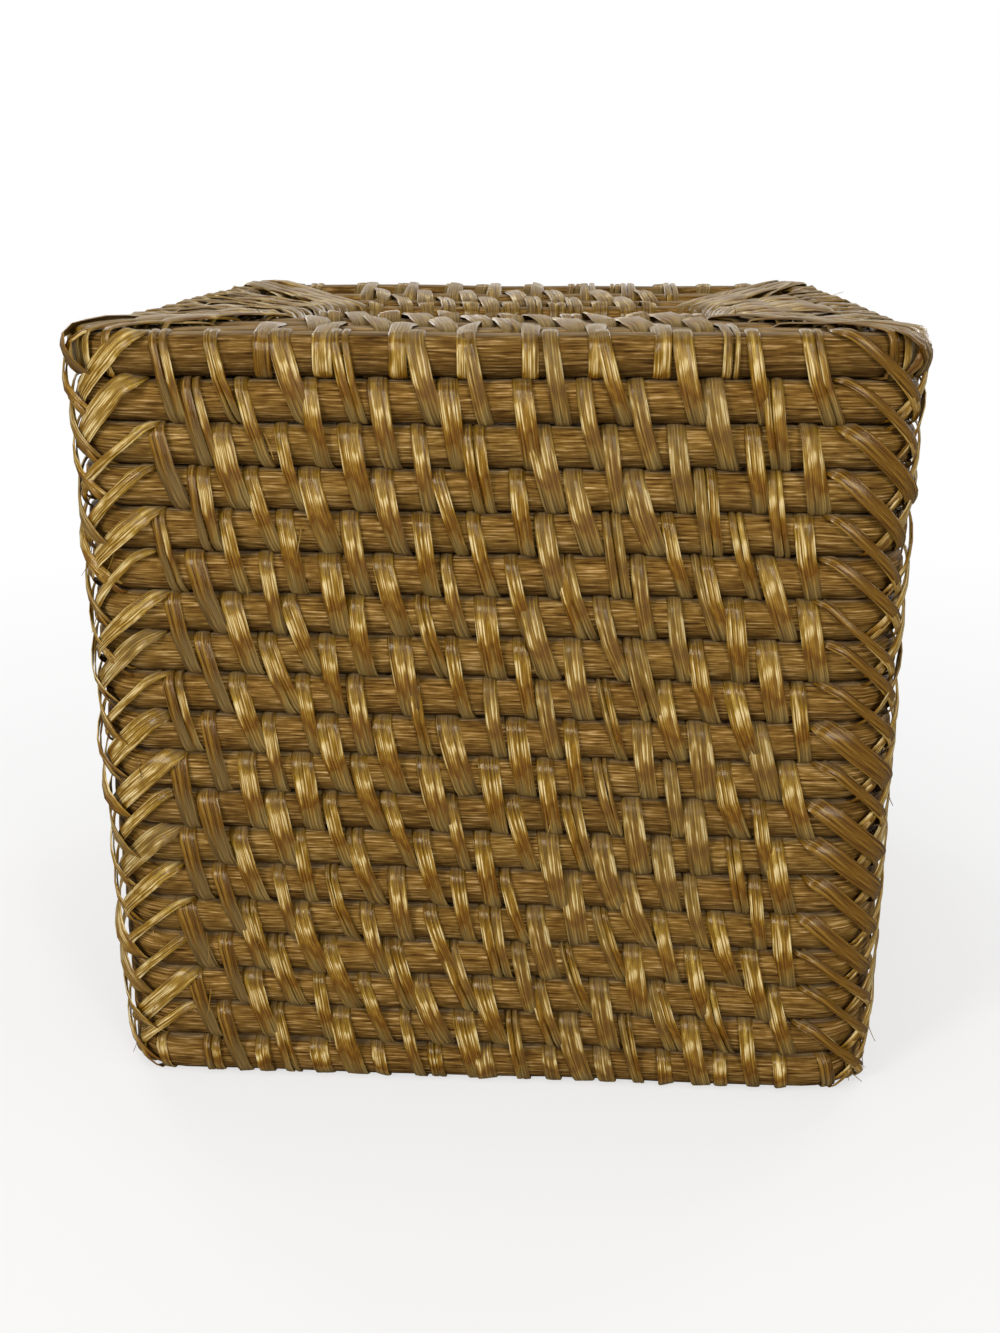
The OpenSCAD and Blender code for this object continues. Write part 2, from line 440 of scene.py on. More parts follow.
def corner_track(sign, half_width, crown, proud, start, side_reach, sink, span, roll):
    """The track of one corner strip, from the face that it starts on to the one it ends on."""
    top = span / 2 + PRESSED + 0.1
    track = []
    for share, bulge, out in CORNER_STOPS:
        sideways = sign * (-start + (start + side_reach) * share)
        height = top - sink * min(1, share / 0.3) - 2 * top * descent(share)
        tucked = min(1.0, 0.6 + 2.5 * share) * (0.8 if share == 1.0 else 1.0)
        tilt = roll * min(1.0, bulge + 0.3) if out > 0 else 0.0
        track.append((sideways, height, out + bulge * proud, half_width * tucked, crown, tilt,
                      0.08 + 0.5 * share))
    return soften(track, CORNER_BENDS)


def hoop_track(sign, half_width, crown, proud, start, side_reach, sink, span, roll):
    """The same for the row that turns the edge, which starts level and has no use for sink."""
    top = span / 2 + PRESSED + 0.1
    track = []
    for share, bulge, out, level in HOOP_STOPS:
        sideways = sign * (-start + (start + side_reach) * share)
        height = top * level - (bulge * proud if level < -0.8 else 0)
        rise = bulge * proud * (0.7 if level > -0.8 else 0.3)
        track.append((sideways, height, out + rise, half_width, crown, roll * bulge, 0.15 + 0.6 * share))
    return soften(track, HOOP_BENDS)


print("A corner strip has", len(CORNER_STOPS) + len(CORNER_BENDS), "stations")

# %% [markdown]
# The rows are laid out as in the CAD model: every other row is moved along by half
# a step, and each is as long as its side. A hand-made row is never even, so the
# strips differ in place, width, lean and tightness, and some are split. On the top
# they are wider and stand up more, so that they nearly hide the rods. A seeded
# random generator varies them, the same way on each run.

# %% Rows of stitches
STEP = 10.9
LEAN = 3.5
EDGE_MOVE = 1.2
CORNER_ROOM = 3.4
PEEL_HALF = 1.5
CROWN = 0.40
SPLIT_CHANCE = 0.24
SPLIT_GAP = 0.05
UP = Vector((0, 0, 1))


def row_places(row):
    reach = ring_half(min(RINGS - 1, row)) - BEND_R - CORNER_ROOM
    places = [(k + (row % 2) / 2) * STEP for k in range(-9, 10)]
    move = EDGE_MOVE * min(2, max(0, row - SIDE_RODS + 1))
    return [place + move for place in places if abs(place) <= reach]


print("Stitches on one side of the first rows:", [len(row_places(row)) for row in range(4)])


def row_inward(row, turns):
    """The direction towards the next rod, for a loop round one rod alone."""
    return UP if row < SIDE_RODS else Matrix.Rotation(turns * math.pi / 2, 3, "Z") @ Vector((0, 1, 0))


def side_strips(row, rng):
    low_ring, high_ring = max(0, row - 1), min(RINGS - 1, row)
    alone, edge, on_top = low_ring == high_ring, row == SIDE_RODS, row > SIDE_RODS
    stops = ALONE_STOPS if alone else EDGE_STOPS if edge else SIDE_STOPS
    widths = (1.0, 1.35) if edge else (1.15, 1.42) if on_top else (0.76, 1.42)
    strips = []
    for side in range(4):
        low, high = (partial(on_side, ring, side) for ring in (low_ring, high_ring))
        for place in row_places(row):
            along = place + rng.gauss(0, 0.45 if on_top else 0.75)
            half_width = PEEL_HALF * rng.uniform(*widths)
            lean = (1.2 if alone else 0.3 if edge else LEAN) * rng.uniform(0.55, 1.45)
            twist = rng.gauss(0, 0.28)
            bow, taper, roll = rng.uniform(0.15, 0.7), rng.uniform(-0.15, 0.15), rng.gauss(0.03, 0.11)
            taper -= 0.3 if edge else 0.0
            slack, tone = rng.uniform(0.15, 0.6) + (0.35 if on_top else 0.0), rng.random()
            parts = [(0.0, half_width)]
            if rng.random() < SPLIT_CHANCE:
                share = rng.uniform(0.35, 0.65)
                parts = [(-half_width * (1 - share), half_width * share - SPLIT_GAP),
                         (half_width * share, half_width * (1 - share) - SPLIT_GAP)]
            for move, width in parts:
                track = stitch_track(
                    stops, along + move, 0 if alone else PITCH, lean * rng.uniform(0.92, 1.08), bow,
                    width, taper, CROWN * rng.uniform(0.8, 1.1), slack + rng.uniform(0, 0.15),
                    roll + rng.gauss(0, 0.05), twist)
                stations = lay_stations(low, high, row_inward(row, side), track)
                strips.append((stations, rng.random(), min(1, max(0, tone + rng.uniform(-0.15, 0.15)))))
    return strips


# %% [markdown]
# A corner of the real cover shows one or two strips from each face in every row.
# Round the foot rod and the rod at the opening it has plain loops instead. On the
# top the rods part at the corners, where a fan of strips side by side fills the
# gaps, each row's fan over the ends of the one outside it. Half of the crossing
# strips are split in two unequal parts.

# %% Corner strips of a row
LOOP_PLACES, FAN_PLACES = (-4.5, 0.5, 5.0), (-4.6, -1.5, 1.6, 4.7)
FAN_OVERLAP = 0.8


def corner_loops(row, rng):
    ring = max(0, row - 1)
    strips = []
    for corner in range(4):
        rod = partial(at_corner, ring, corner)
        for along in LOOP_PLACES:
            track = stitch_track(ALONE_STOPS, along + rng.gauss(0, 0.4), 0, 1.2, 0.2,
                                 PEEL_HALF * rng.uniform(0.7, 1.0), 0, CROWN, 0.15, 0)
            stations = lay_stations(rod, rod, row_inward(row, corner + 0.5), track)
            strips.append((stations, rng.random(), rng.random()))
    return strips


def fan_rise(height, out):
    """How far a fan's strip stands out to lie over the row outside it, most at its lower end."""
    return FAN_OVERLAP * max(0, out) / ROD_R * (0.5 - height / (2 * PITCH + 1))


def corner_fan(row, rng):
    stops = EDGE_STOPS if row == SIDE_RODS else SIDE_STOPS
    strips = []
    for corner in range(4):
        low, high = (partial(at_corner, ring, corner) for ring in (row - 1, row))
        for along in FAN_PLACES:
            lean, width = rng.uniform(-0.5, 1.8), PEEL_HALF * rng.uniform(0.8, 1.1)
            track = stitch_track(stops, along + rng.gauss(0, 0.3), PITCH, lean, 0.3, width, 0, CROWN,
                                 rng.uniform(0.2, 0.5), rng.gauss(0, 0.08), rng.gauss(0, 0.2))
            track = [(x, height, out + fan_rise(height, out), *rest) for x, height, out, *rest in track]
            track = soften(track, range(len(track)))
            strips.append((lay_stations(low, high, UP, track), rng.random(), rng.random()))
    return strips


def corner_strips(row, rng):
    make_track = hoop_track if row == SIDE_RODS else corner_track
    strips = []
    for corner in range(4):
        low, high = (partial(at_corner, ring, corner) for ring in (row - 1, row))
        for sign in (1, -1):
            width = PEEL_HALF * rng.uniform(0.9, 1.45)
            proud = rng.uniform(1.0, 2.0) if sign > 0 else rng.uniform(0.3, 1.2)
            start, side_reach, sink = rng.uniform(8.8, 11.2), rng.uniform(2.0, 4.4), rng.uniform(-0.2, 0.9)
            tone, roll = rng.random(), rng.gauss(0, 0.16)
            parts = [(0.0, width)] if rng.random() > 0.5 else [(0.38, width * 0.5), (-0.5, width * 0.42)]
            for move, part_width in parts:
                track = make_track(sign, part_width, CROWN * rng.uniform(0.55, 0.9), proud + move * 0.3,
                                   start + 2.2 * move, side_reach, sink - 1.6 * move, PITCH, roll)
                stations = lay_stations(low, high, UP, track)
                strips.append((stations, rng.random(), min(1, max(0, tone + rng.uniform(-0.1, 0.1)))))
    return strips


# %% [markdown]
# Old peel frays. Here and there a fibre has sprung off a strip and ends in the
# air, and a few stand out from the corners. Such a fibre is a short, thin strip
# that isn't closed to a loop.

# %% Loose fibres
SIDE_CHANCE, CORNER_CHANCE = 0.05, 0.22
CORNER_FIBRES = (-2.0, 3.0)
FIBRE_STEPS = 6
PEEL_TOP = 3.75


def loose_fibres(row, rng):
    low_ring, high_ring = max(0, row - 1), min(RINGS - 1, row)
    strips = []
    for turn in range(4):
        places = [(on_side, place) for place in row_places(row)]
        places += [(at_corner, place) for place in CORNER_FIBRES]
        for rods, along in places:
            if rng.random() > (SIDE_CHANCE if rods is on_side else CORNER_CHANCE):
                continue
            low, high = (partial(rods, ring, turn) for ring in (low_ring, high_ring))
            begin, length = rng.uniform(-2, 5), rng.uniform(3.5, 7)
            lift = rng.uniform(0.6, 2.2) * (1 if rods is on_side else 1.25)
            drift = rng.uniform(-1.5, 2.5)
            width = rng.uniform(0.09, 0.2)
            track = []
            for step in range(FIBRE_STEPS):
                share = step / (FIBRE_STEPS - 1)
                track.append((along + 0.8 + drift * share, begin - length * share,
                              PEEL_TOP + lift * share * share, width * (1 - 0.6 * share),
                              width * (1 - 0.5 * share), 0.0, 0.2))
            stations = lay_stations(low, high, row_inward(row, turn) if low_ring == high_ring else UP, track)
            stations[0] = end_station(stations[1], stations[0])
            stations[-1] = end_station(stations[-2], stations[-1])
            strips.append((stations, rng.random(), rng.uniform(0.4, 1.0)))
    return strips


def end_station(neighbour, own):
    """An end has only one neighbour, so it takes over that one's direction."""
    return Station(own.middle, neighbour.across, neighbour.up, own.half_width, own.crown, own.share)


# %% [markdown]
# A row's piece holds all its strips: those of the sides, those of the corners and
# the loose fibres.

# %% Weave a row
ROW_SEED = 500


def weave_row(row):
    bm = bmesh.new()
    for name in KEPT:
        bm.verts.layers.int.new(name)
    for name in ("UVMap", "strip", "wear"):
        bm.loops.layers.uv.new(name)
    rng = random.Random(ROW_SEED + row)
    on_top = SIDE_RODS <= row < RINGS
    grow_strips(bm, side_strips(row, rng), True)
    if on_top:
        grow_strips(bm, corner_fan(row, rng), True)
    if row in (0, RINGS):
        grow_strips(bm, corner_loops(row, rng), True)
    elif row <= SIDE_RODS:
        grow_strips(bm, corner_strips(row, rng), True)
    fibres = loose_fibres(row, rng)
    if fibres:
        grow_strips(bm, fibres, False)
    bmesh.ops.recalc_face_normals(bm, faces=bm.faces)
    return bm


# %% [markdown]
# Finishing is the same for every piece. First it settles: rods and strips swell
# and dip by the same small amount at the same place, as in any basket, so that
# they stay together. The lowest rows hardly move up or down, and what would reach
# below the foot is pressed flat. Then the mesh is scaled to metres and shaded
# smooth, gets its material and is hung on the body that carries it, and the CAD
# node that it stands for is hidden.

# %% Finish a piece
SETTLING, SETTLING_SCALE = 0.45, 0.028
FIRM_FOOT = 12


def settle(bm):
    for vert in bm.verts:
        shift = SETTLING * noise.noise_vector(vert.co * SETTLING_SCALE)
        shift.z *= min(1.0, max(0.0, vert.co.z) / FIRM_FOOT)
        vert.co += shift
        vert.co.z = max(vert.co.z, 0.0)


def finish_piece(bm, name, node, material):
    settle(bm)
    bmesh.ops.scale(bm, vec=(MM, MM, MM), verts=bm.verts)
    mesh = bpy.data.meshes.new(name)
    for face in bm.faces:
        face.smooth = True
    bm.to_mesh(mesh)
    bm.free()
    for layer in KEPT:
        if layer in mesh.attributes and mesh.attributes[layer].domain == "POINT":
            mesh.attributes.remove(mesh.attributes[layer])
    piece = bpy.data.objects.new(name, mesh)
    bpy.context.scene.collection.objects.link(piece)
    piece.data.materials.append(material)
    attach(piece, "root")
    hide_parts(node)
    return piece


# %% [markdown]
# Materials are built from nodes. A few short helpers keep their recipes readable:
# one adds a node, one feeds a socket with a link or a constant, and the others wrap
# the nodes that come up again and again. A finished recipe is laid out in columns,
# for whoever opens it in the node editor.

# %% Helpers for nodes
WHITE = (1.0, 1.0, 1.0)
COLUMN_WIDTH, LINE_HEIGHT = 220, 260


def add_node(tree, kind, **settings):
    node = tree.nodes.new(kind)
    for key, value in settings.items():
        setattr(node, key, value)
    return node


def feed(tree, socket, value):
    """Links a socket to another one, or sets it to a number or a colour."""
    if isinstance(value, bpy.types.NodeSocket):
        tree.links.new(value, socket)
    else:
        socket.default_value = (*value, 1) if socket.type == "RGBA" else value


def calculate(tree, operation, *values):
    node = add_node(tree, "ShaderNodeMath", operation=operation)
    for socket, value in zip(node.inputs, values):
        feed(tree, socket, value)
    return node.outputs[0]


def split(tree, vector):
    node = add_node(tree, "ShaderNodeSeparateXYZ")
    feed(tree, node.inputs[0], vector)
    return node.outputs


def uv_map(tree, name):
    return add_node(tree, "ShaderNodeUVMap", uv_map=name).outputs["UV"]


def arrange(tree):
    """Lays the nodes out in columns, each one to the left of all that it feeds."""
    columns = {node.name: 0 for node in tree.nodes}
    for _ in tree.nodes:
        for link in tree.links:
            source = link.from_node.name
            columns[source] = max(columns[source], columns[link.to_node.name] + 1)
    lines = {}
    for name, column in columns.items():
        lines[column] = lines.get(column, -1) + 1
        tree.nodes[name].location = (-COLUMN_WIDTH * column, -LINE_HEIGHT * lines[column])


# %% [markdown]
# Three nodes turn one value into another: one stretches a range of numbers, one
# gives a number a colour between fixed stops, and one mixes two colours.

# %% Nodes for ranges and colours
def to_range(tree, source, low, high, out_low, out_high):
    node = add_node(tree, "ShaderNodeMapRange")
    values = {"Value": source, "From Min": low, "From Max": high, "To Min": out_low, "To Max": out_high}
    for name, value in values.items():
        feed(tree, node.inputs[name], value)
    return node.outputs["Result"]


def ramp(tree, source, stops):
    node = add_node(tree, "ShaderNodeValToRGB")
    elements = node.color_ramp.elements
    for element, (position, colour) in zip(elements, (stops[0], stops[-1])):
        element.position, element.color = position, (*colour, 1)
    for position, colour in stops[1:-1]:
        elements.new(position).color = (*colour, 1)
    feed(tree, node.inputs["Fac"], source)
    return node.outputs["Color"]


def mix_colour(tree, kind, factor, first, second):
    node = add_node(tree, "ShaderNodeMix", data_type="RGBA", blend_type=kind)
    for socket, value in ((node.inputs["Factor"], factor), (node.inputs[6], first), (node.inputs[7], second)):
        feed(tree, socket, value)
    return node.outputs[2]


# %% [markdown]
# Both the rods and the peel show fibres that run lengthwise: fine, long streaks
# that are darker and lighter than the rest. One node group makes them from a
# piece's UV map, where one unit is a millimetre, and both materials use it with
# their own fineness. Both also collect dust where they look up, and there the grey
# sheen of light glancing off the top is painted in with it, so a second group turns
# the height of a face's normal into an amount of dust and painted sheen.

# %% Shared fibre streaks, and dust with painted sheen
FIBRE_PATTERNS = {"Streaks": (1.0, 1.0, 5.0), "Fine": (2.1, 1.6, 3.0), "Patches": (0.18, 2.2, 3.0)}
SEED_SPREAD = 83.0


def new_group(name, inputs, outputs):
    """A node group with its sockets: its tree, what goes in and its far end."""
    tree = bpy.data.node_groups.new(name, "ShaderNodeTree")
    for socket, kind in inputs.items():
        tree.interface.new_socket(socket, in_out="INPUT", socket_type=f"NodeSocket{kind}")
    for socket in outputs:
        tree.interface.new_socket(socket, in_out="OUTPUT", socket_type="NodeSocketFloat")
    return tree, add_node(tree, "NodeGroupInput").outputs, add_node(tree, "NodeGroupOutput")


def fibre_group():
    inputs = {"Vector": "Vector", "Across": "Float", "Along": "Float", "Seed": "Float"}
    tree, given, outlet = new_group("lengthwise_fibre", inputs, FIBRE_PATTERNS)
    shift = calculate(tree, "MULTIPLY", given["Seed"], SEED_SPREAD)
    for name, (across, along, detail) in FIBRE_PATTERNS.items():
        scale = add_node(tree, "ShaderNodeCombineXYZ")
        feed(tree, scale.inputs["X"], calculate(tree, "MULTIPLY", given["Across"], across))
        feed(tree, scale.inputs["Y"], calculate(tree, "MULTIPLY", given["Along"], along))
        feed(tree, scale.inputs["Z"], 1.0)
        place = add_node(tree, "ShaderNodeVectorMath", operation="MULTIPLY")
        feed(tree, place.inputs[0], given["Vector"])
        feed(tree, place.inputs[1], scale.outputs[0])
        pattern = add_node(tree, "ShaderNodeTexNoise", noise_dimensions="4D")
        for socket, value in {"Vector": place.outputs[0], "W": shift, "Scale": 1.0, "Detail": detail}.items():
            feed(tree, pattern.inputs[socket], value)
        feed(tree, outlet.inputs[name], pattern.outputs["Fac"])
    arrange(tree)
    return tree


# The dust group gives dust with a painted grey sheen on what looks up.
def dust_and_sheen_group():
    inputs = {"Normal": "Vector", "Least Slope": "Float", "Full Slope": "Float", "Most": "Float"}
    tree, given, outlet = new_group("dust_and_sheen", inputs, ("Dust And Sheen",))
    height = split(tree, given["Normal"])["Z"]
    dulling = to_range(tree, height, given["Least Slope"], given["Full Slope"], 0.0, given["Most"])
    feed(tree, outlet.inputs["Dust And Sheen"], dulling)
    arrange(tree)
    return tree


FIBRE, DUST_AND_SHEEN = fibre_group(), dust_and_sheen_group()
print("Shared node groups:", FIBRE.name, "and", DUST_AND_SHEEN.name)

# %% [markdown]
# Each material places the groups with its own values. A strip's seed is one random
# number, and luck makes others from it, so that a strip's dust and its gloss don't
# go together.

# %% Helpers for both materials
def place_group(tree, group, values):
    node = add_node(tree, "ShaderNodeGroup", node_tree=group)
    for name, value in values.items():
        feed(tree, node.inputs[name], value)
    return node.outputs


def dust_and_sheen(tree, least, full, most):
    """How much dust and painted sheen lies on a face: none on a wall, the most on what looks up."""
    normal = add_node(tree, "ShaderNodeTexCoord").outputs["Normal"]
    values = {"Normal": normal, "Least Slope": least, "Full Slope": full, "Most": most}
    return place_group(tree, DUST_AND_SHEEN, values)["Dust And Sheen"]


def luck(tree, seed, factor):
    """Another even random number from a strip's seed."""
    return calculate(tree, "FRACT", calculate(tree, "MULTIPLY", seed, factor))


def raise_fibres(tree, shader, streaks, depth):
    bump = add_node(tree, "ShaderNodeBump")
    for name, value in {"Strength": 0.8, "Distance": depth, "Height": streaks}.items():
        feed(tree, bump.inputs[name], value)
    feed(tree, shader.inputs["Normal"], bump.outputs["Normal"])


def start_material(name):
    material = bpy.data.materials.new(name)
    material.use_nodes = True
    tree = material.node_tree
    return material, tree, tree.nodes["Principled BSDF"]


# %% [markdown]
# The rods are unpeeled cane with a matt skin: brown, with short fine lines, lighter
# and darker. No two canes have quite the same brown, so each ring's tone shifts it,
# and the top side rod always gets the darkest tone, as painted shade. The lower
# half of a rod is painted darker and its upper half a little lighter, as painted
# shade and light, and dust with a painted grey sheen lies on what looks up. The UV
# map's girth, as an angle, tells how high on the rod a point is.

# %% Rod material
CANE_FIBRES = ((0.33, (0.048, 0.018, 0.001)), (0.44, (0.150, 0.079, 0.014)), (0.54, (0.222, 0.129, 0.027)),
               (0.62, (0.390, 0.255, 0.094)), (0.71, (0.600, 0.445, 0.235)))
CANE_PATCHES = ((0.36, (0.76, 0.72, 0.66)), (0.52, (0.94, 0.92, 0.90)), (0.66, WHITE))
CANE_TONES = ((0.0, (0.72, 0.68, 0.62)), (0.5, (0.98, 0.94, 0.90)), (1.0, WHITE))
# Painted shade and light by height on a rod: darker lower half, slightly lighter upper half.
CANE_PAINTED_SHADING = ((0.15, (0.46, 0.43, 0.38)), (0.30, (0.78, 0.76, 0.73)), (0.50, (1.00, 0.99, 0.97)),
              (0.70, (1.14, 1.12, 1.10)), (1.0, WHITE))
# Dust with a painted grey sheen, for what looks up.
CANE_DUST_AND_SHEEN = (0.42, 0.34, 0.23)


def rod_material():
    material, tree, shader = start_material("cane_rod")
    along, girth, _ = split(tree, uv_map(tree, "UVMap"))
    seed, tone, _ = split(tree, uv_map(tree, "strip"))
    turned = add_node(tree, "ShaderNodeCombineXYZ")
    feed(tree, turned.inputs["X"], girth)
    feed(tree, turned.inputs["Y"], along)
    fibre = place_group(tree, FIBRE, {
        "Vector": turned.outputs[0], "Across": 3.7, "Along": 0.20, "Seed": seed})
    # How high a point is on the rod sets its painted shade and light.
    level = calculate(tree, "SINE", calculate(tree, "DIVIDE", girth, ROD_R))
    height = to_range(tree, level, -1.0, 1.0, 0.0, 1.0)
    colour = ramp(tree, fibre["Streaks"], CANE_FIBRES)
    for source, stops in ((fibre["Patches"], CANE_PATCHES), (tone, CANE_TONES), (height, CANE_PAINTED_SHADING)):
        colour = mix_colour(tree, "MULTIPLY", 1.0, colour, ramp(tree, source, stops))
    # Dust with a painted grey sheen on what looks up.
    dulled = mix_colour(tree, "MIX", dust_and_sheen(tree, 0.80, 0.98, 0.30), colour, CANE_DUST_AND_SHEEN)
    feed(tree, shader.inputs["Base Color"], dulled)
    feed(tree, shader.inputs["Roughness"], to_range(tree, fibre["Fine"], 0.3, 0.7, 0.55, 0.85))
    feed(tree, shader.inputs["Specular IOR Level"], 0.2)
    feed(tree, shader.inputs["Specular Tint"], (1.0, 0.82, 0.55))
    raise_fibres(tree, shader, fibre["Streaks"], 0.00025)
    arrange(tree)
    return material


# %% [markdown]
# Peel is the hard, glassy skin of the cane. It shines, and it ranges from straw
# to amber and brown even within one strip. Light and shade are painted along each
# strip in bands: a darker start at the gap, a pale painted highlight where it runs
# over the shoulder of its upper rod, its deepest amber in the middle and greyer,
# duller colour below. The band map places these bands, and noise breaks them up.
# Strips with a low seed get hardly any bands, and those with a high one also get a
# painted glint of straw-coloured streaks in the pale band. Lower down every strip
# is also painted dull and darker, as painted shade. Some strips are dusty all over,
# and what looks up gets dust with a painted grey sheen. The dull lower part and
# the dust take the gloss and the thin clear coat away.

# %% Peel material
PEEL_FIBRES = ((0.31, (0.080, 0.025, 0.001)), (0.43, (0.285, 0.145, 0.004)), (0.54, (0.440, 0.265, 0.017)),
               (0.70, (0.840, 0.620, 0.140)))
# Painted light and shade in bands along a strip: darker start, pale painted highlight, deep amber, greyer
# lower part.
PEEL_PAINTED_BANDS = ((0.00, (0.40, 0.35, 0.25)), (0.10, (0.66, 0.62, 0.55)), (0.20, (0.90, 0.92, 0.95)),
             (0.32, (0.76, 0.71, 0.60)), (0.44, (0.42, 0.29, 0.11)), (0.52, (0.37, 0.25, 0.10)),
             (0.62, (0.55, 0.47, 0.32)), (0.82, (0.45, 0.43, 0.40)), (1.0, (0.34, 0.31, 0.26)))
PEEL_UNBANDED = (0.62, 0.53, 0.34)
# Where a painted glint lies along a strip, and its pale straw colour.
PAINTED_GLINT_BAND = ((0.10, (0, 0, 0)), (0.19, (1, 1, 1)), (0.25, (1, 1, 1)), (0.37, (0, 0, 0)))
PAINTED_GLINT_STRAW = (0.93, 0.80, 0.50)
PEEL_TONES = ((0.0, (0.62, 0.56, 0.45)), (0.18, (0.92, 0.75, 0.50)), (0.42, (0.84, 0.83, 0.72)),
              (0.65, (1.0, 0.93, 0.82)), (0.84, (0.96, 0.82, 0.60)), (1.0, WHITE))
PEEL_DULL = ((0.33, (0.050, 0.028, 0.006)), (0.50, (0.140, 0.090, 0.024)), (0.68, (0.270, 0.190, 0.072)))
# Dust with a painted grey sheen, for what looks up.
PALE_DUST_AND_SHEEN = (0.60, 0.50, 0.36)


def peel_colour(tree, fibre, seed, tone, broken):
    """The colour of clean peel, with light and shade painted in bands along the strip."""
    # Strips with a low seed get hardly any of the painted bands.
    unbanded = to_range(tree, seed, 0.12, 0.50, 0.85, 0.0)
    wear = mix_colour(tree, "MIX", unbanded, ramp(tree, broken, PEEL_PAINTED_BANDS), PEEL_UNBANDED)
    colour = mix_colour(tree, "MULTIPLY", 1.0, ramp(tree, fibre["Streaks"], PEEL_FIBRES), wear)
    # Strips with a high seed get a painted glint: pale straw in the streaks of the pale band.
    chosen = to_range(tree, seed, 0.50, 0.95, 0.0, 1.0)
    streaked = to_range(tree, fibre["Streaks"], 0.47, 0.62, 0.0, 0.70)
    painted_glint = calculate(tree, "MULTIPLY", ramp(tree, broken, PAINTED_GLINT_BAND), chosen)
    colour = mix_colour(tree, "MIX", calculate(tree, "MULTIPLY", painted_glint, streaked), colour, PAINTED_GLINT_STRAW)
    return mix_colour(tree, "MULTIPLY", 1.0, colour, ramp(tree, tone, PEEL_TONES))


def peel_material():
    material, tree, shader = start_material("rattan_peel")
    seed, tone, _ = split(tree, uv_map(tree, "strip"))
    way = split(tree, uv_map(tree, "wear"))["X"]
    fibre = place_group(tree, FIBRE, {
        "Vector": uv_map(tree, "UVMap"), "Across": 3.4, "Along": 0.085, "Seed": seed})
    moved = calculate(tree, "ADD", way, to_range(tree, seed, 0.0, 1.0, 0.10, -0.13))
    broken = calculate(tree, "ADD", moved, to_range(tree, fibre["Patches"], 0.3, 0.7, -0.17, 0.17))
    colour = peel_colour(tree, fibre, seed, tone, broken)

    # Lower down every strip is painted dull and darker: painted shade.
    lower = to_range(tree, broken, 0.52, 0.76, 0.0, 0.72)
    all_over = to_range(tree, luck(tree, seed, 23.1), 0.60, 1.0, 0.0, 0.45)
    # Dust with a painted grey sheen on what looks up.
    upward_dust_and_sheen = dust_and_sheen(tree, 0.66, 0.98, 0.46)
    dulling = calculate(tree, "MAXIMUM", calculate(tree, "MAXIMUM", lower, all_over), upward_dust_and_sheen)
    dull = mix_colour(tree, "MIX", upward_dust_and_sheen, ramp(tree, fibre["Streaks"], PEEL_DULL), PALE_DUST_AND_SHEEN)
    feed(tree, shader.inputs["Base Color"], mix_colour(tree, "MIX", dulling, colour, dull))

    rough = to_range(tree, fibre["Fine"], 0.3, 0.7, 0.18, 0.36)
    matt = to_range(tree, luck(tree, seed, 7.7), 0.50, 1.0, 0.0, 0.20)
    dulled = to_range(tree, dulling, 0.0, 0.6, 0.0, 0.28)
    rough = calculate(tree, "ADD", calculate(tree, "ADD", rough, matt), dulled)
    feed(tree, shader.inputs["Roughness"], rough)
    feed(tree, shader.inputs["Coat Weight"], to_range(tree, dulling, 0.0, 0.6, 0.25, 0.0))
    feed(tree, shader.inputs["Coat Roughness"], 0.20)
    feed(tree, shader.inputs["Specular IOR Level"], 0.7)
    feed(tree, shader.inputs["Specular Tint"], (1.0, 0.86, 0.62))
    raise_fibres(tree, shader, fibre["Streaks"], 0.0004)
    arrange(tree)
    return material


# %% [markdown]
# Now the pieces themselves. Each rod and each row is one object that stands for
# one node of the CAD model, so the whole cover can be taken apart again.

# %% Make the rods and rows
ROD_FINISH, PEEL_FINISH = rod_material(), peel_material()

for ring in range(RINGS):
    node = f"side_rod_{ring + 1:02d}" if ring < SIDE_RODS else f"top_rod_{ring - SIDE_RODS + 1}"
    bm = bend_rod(ring)
    dress_rod(bm, ring)
    bmesh.ops.transform(bm, matrix=ring_matrix(ring), verts=bm.verts)
    finish_piece(bm, f"cane_{node}", node, ROD_FINISH)


def row_node(row):
    if row == 0:
        return "foot_stitches"
    if row < SIDE_RODS:
        return f"side_stitches_{row:02d}"
    if row == SIDE_RODS:
        return "edge_stitches"
    return f"top_stitches_{row - SIDE_RODS}" if row < RINGS else "rim_stitches"


for row in range(RINGS + 1):
    piece = finish_piece(weave_row(row), f"peel_{row_node(row)}", row_node(row), PEEL_FINISH)
    print(piece.name, "has", len(piece.data.polygons), "faces")

# %% [markdown]
# The camera stands where the photograph was taken from: close, a little to the
# right of the middle, and tilted down, which makes the cover narrow towards its
# foot.

# %% Camera
PHOTO_HEIGHT, FOCAL_PIXELS, SENSOR = 1333, 1422.8, 36
CAMERA_PLACE = (0.01595, -0.3081, 0.1614)
CAMERA_YAW, CAMERA_TILT, CAMERA_ROLL = -3.41, 18.1, -0.18

camera_data = bpy.data.cameras.new("camera")
camera_data.sensor_fit = "VERTICAL"
camera_data.sensor_height = SENSOR
camera_data.sensor_width = SENSOR
camera_data.lens = FOCAL_PIXELS / PHOTO_HEIGHT * SENSOR
camera = bpy.data.objects.new("camera", camera_data)
bpy.context.scene.collection.objects.link(camera)
yaw, tilt, roll = (math.radians(angle) for angle in (CAMERA_YAW, CAMERA_TILT, CAMERA_ROLL))
forward = Vector((math.sin(yaw) * math.cos(tilt), math.cos(yaw) * math.cos(tilt), -math.sin(tilt)))
right = Vector((math.cos(yaw), -math.sin(yaw), 0))
above = right.cross(forward)
right, above = (math.cos(roll) * right + math.sin(roll) * above,
                -math.sin(roll) * right + math.cos(roll) * above)
turn = Matrix((right, above, -forward)).transposed().to_4x4()
camera.matrix_world = Matrix.Translation(CAMERA_PLACE) @ turn
bpy.context.scene.camera = camera
print(f"Camera at {CAMERA_PLACE} with a lens of {camera_data.lens:.1f} mm")

